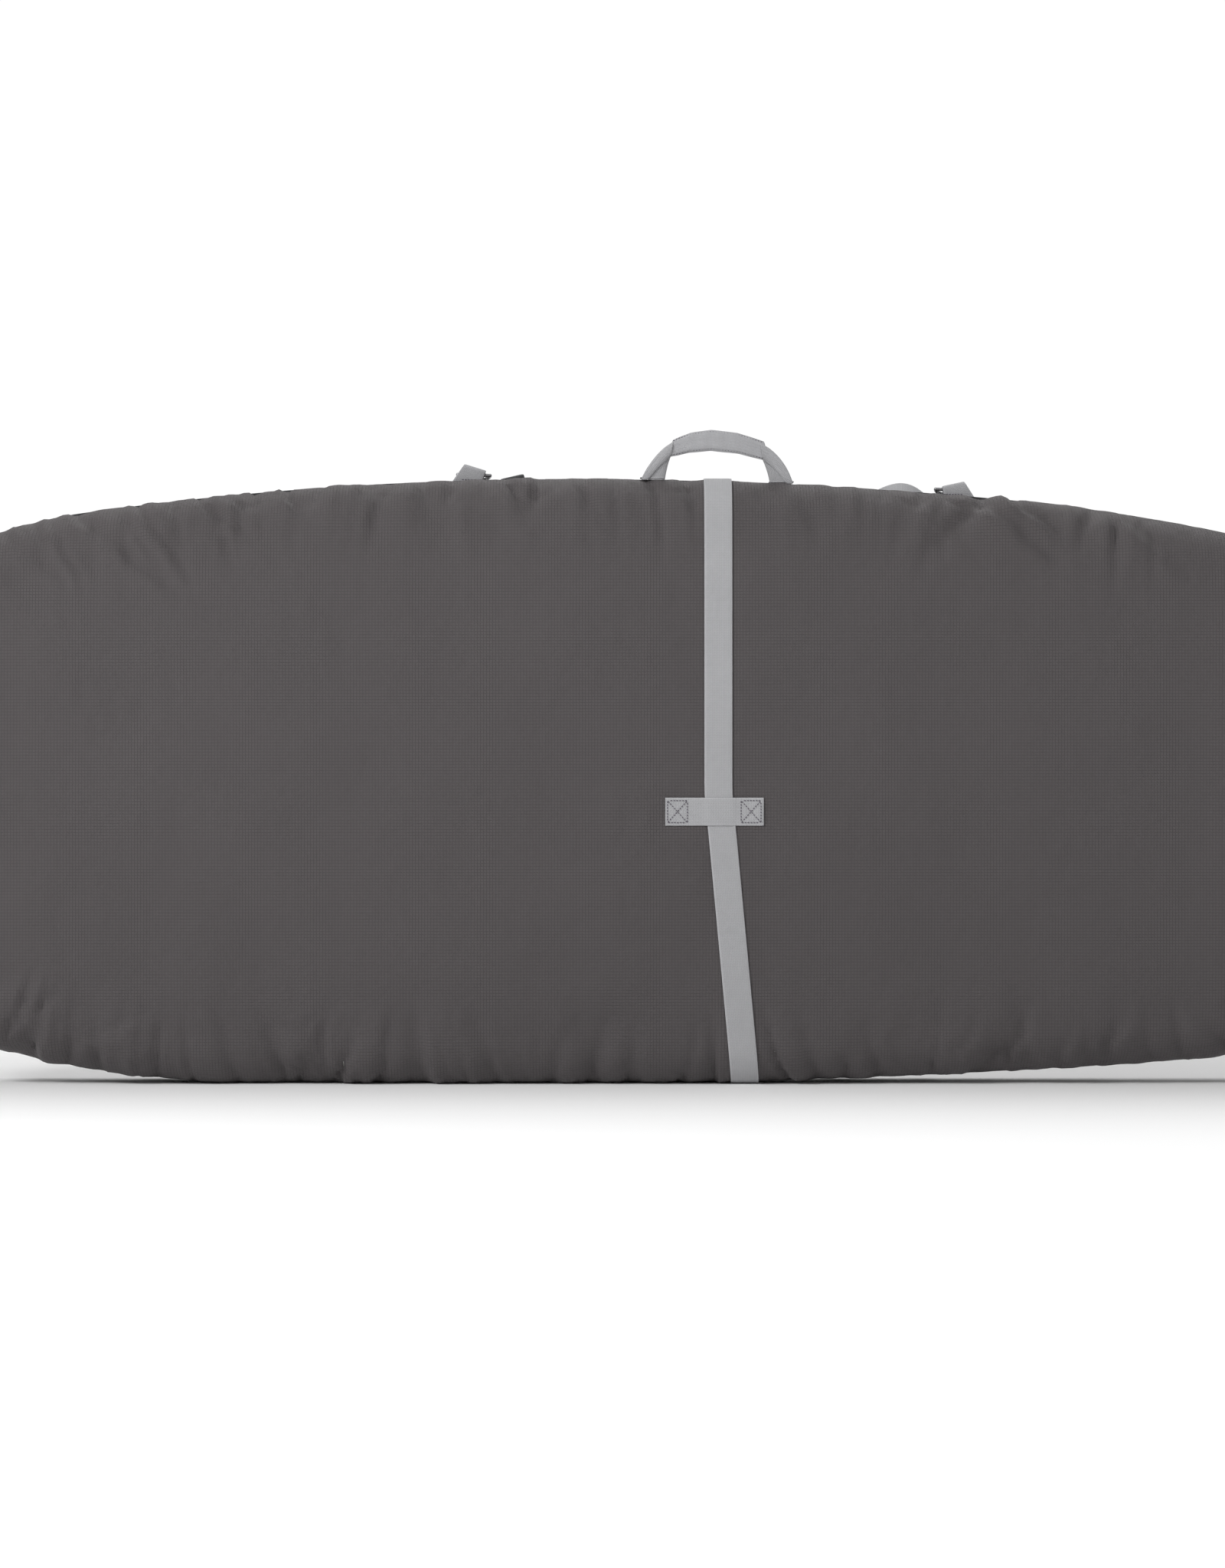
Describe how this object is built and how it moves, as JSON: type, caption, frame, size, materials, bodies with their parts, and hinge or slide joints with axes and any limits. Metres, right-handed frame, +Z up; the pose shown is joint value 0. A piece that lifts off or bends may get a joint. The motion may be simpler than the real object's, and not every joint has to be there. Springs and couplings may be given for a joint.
{
  "type": "padded board bag",
  "caption": "Long padded zip bag for a wide board, with carry handle, centre strap with buckle and shoulder strap.",
  "frame": {"origin": "on the floor under the carry handle, in the plane of the zip, at the middle of the bag's length", "axes": "+X runs along the bag to the nose, -Y is the front face with the strap keeper, +Z is up, with the bag standing on its long edge and the carry handle on top"},
  "size_m": [2.5666, 0.165, 0.8962],
  "materials": {
    "ripstop_fabric": "dark warm grey ripstop weave, slight sheen",
    "padding_foam": "closed-cell foam",
    "lining_fabric": "plain woven lining",
    "binding_tape": "folded woven tape",
    "zip_tape": "woven zip tape",
    "zip_coil": "nylon coil",
    "grey_webbing": "light grey ribbed webbing",
    "grip_fabric": "light grey padded sleeve",
    "dark_webbing": "dark grey ribbed webbing",
    "pad_fabric": "dark padded fabric",
    "black_plastic": "moulded, satin",
    "ring_metal": "black coated wire",
    "slider_metal": "black coated die casting",
    "tab_rubber": "moulded rubber"
  },
  "bodies": {
    "front_shell": {"front_skin": "ripstop_fabric", "front_foam": "padding_foam", "front_lining": "lining_fabric", "front_binding": "binding_tape", "front_zip_tape": "zip_tape", "front_zip_coil": "zip_coil", "zip_stops": "zip_coil", "centre_strap_front": "grey_webbing", "strap_keeper": "grey_webbing", "handle_anchors": "grey_webbing"},
    "back_shell": {"back_skin": "ripstop_fabric", "back_foam": "padding_foam", "back_lining": "lining_fabric", "back_binding": "binding_tape", "back_zip_tape": "zip_tape", "back_zip_coil": "zip_coil", "centre_strap_back_upper": "grey_webbing", "centre_strap_back_lower": "grey_webbing", "buckle_socket": "black_plastic", "strap_loop_left": "grey_webbing", "strap_loop_right": "grey_webbing"},
    "carry_handle": {"handle_webbing": "grey_webbing", "grip_sleeve": "grip_fabric"},
    "buckle_plug": {"buckle_plug": "black_plastic"},
    "shoulder_strap": {"d_ring_left": "ring_metal", "d_ring_right": "ring_metal", "hook_left": "black_plastic", "hook_right": "black_plastic", "shoulder_webbing": "dark_webbing", "shoulder_pad": "pad_fabric", "length_adjuster": "black_plastic"},
    "zip_slider_upper": {"zip_slider_upper": "slider_metal"},
    "zip_slider_lower": {"zip_slider_lower": "slider_metal"},
    "pull_tab_upper": {"pull_tab_upper": "tab_rubber"},
    "pull_tab_lower": {"pull_tab_lower": "tab_rubber"}
  },
  "joints": [
    {"name": "lid_hinge", "type": "hinge", "parent": "front_shell", "child": "back_shell", "pos_m": [0, 0, 0.8305], "axis": [1, 0, 0], "range_deg": [0, 100]},
    {"name": "handle_swing", "type": "hinge", "parent": "front_shell", "child": "carry_handle", "pos_m": [0.004, -0.03, 0.83064], "axis": [0.9995, 0, -0.0319], "range_deg": [-15, 88]},
    {"name": "buckle_release", "type": "slide", "parent": "back_shell", "child": "buckle_plug", "axis": [0, 0, 1], "range_m": [0, 0.034]},
    {"name": "shoulder_swing", "type": "hinge", "parent": "back_shell", "child": "shoulder_strap", "pos_m": [0, 0.038, 0.82952], "axis": [0.9995, 0, -0.0306], "range_deg": [0, 150]},
    {"name": "zip_run_upper", "type": "hinge", "parent": "front_shell", "child": "zip_slider_upper", "pos_m": [1.04, 0, 0.4], "axis": [0, -1, 0], "range_deg": [0, 50]},
    {"name": "zip_run_lower", "type": "hinge", "parent": "front_shell", "child": "zip_slider_lower", "pos_m": [1.04, 0, 0.4], "axis": [0, 1, 0], "range_deg": [0, 50]},
    {"name": "pull_tab_upper_swing", "type": "hinge", "parent": "zip_slider_upper", "child": "pull_tab_upper", "pos_m": [1.2804, 0, 0.43808], "axis": [0, -1, 0], "range_deg": [0, 150]},
    {"name": "pull_tab_lower_swing", "type": "hinge", "parent": "zip_slider_lower", "child": "pull_tab_lower", "pos_m": [1.2804, 0, 0.36192], "axis": [0, -1, 0], "range_deg": [-9, 140]}
  ]
}
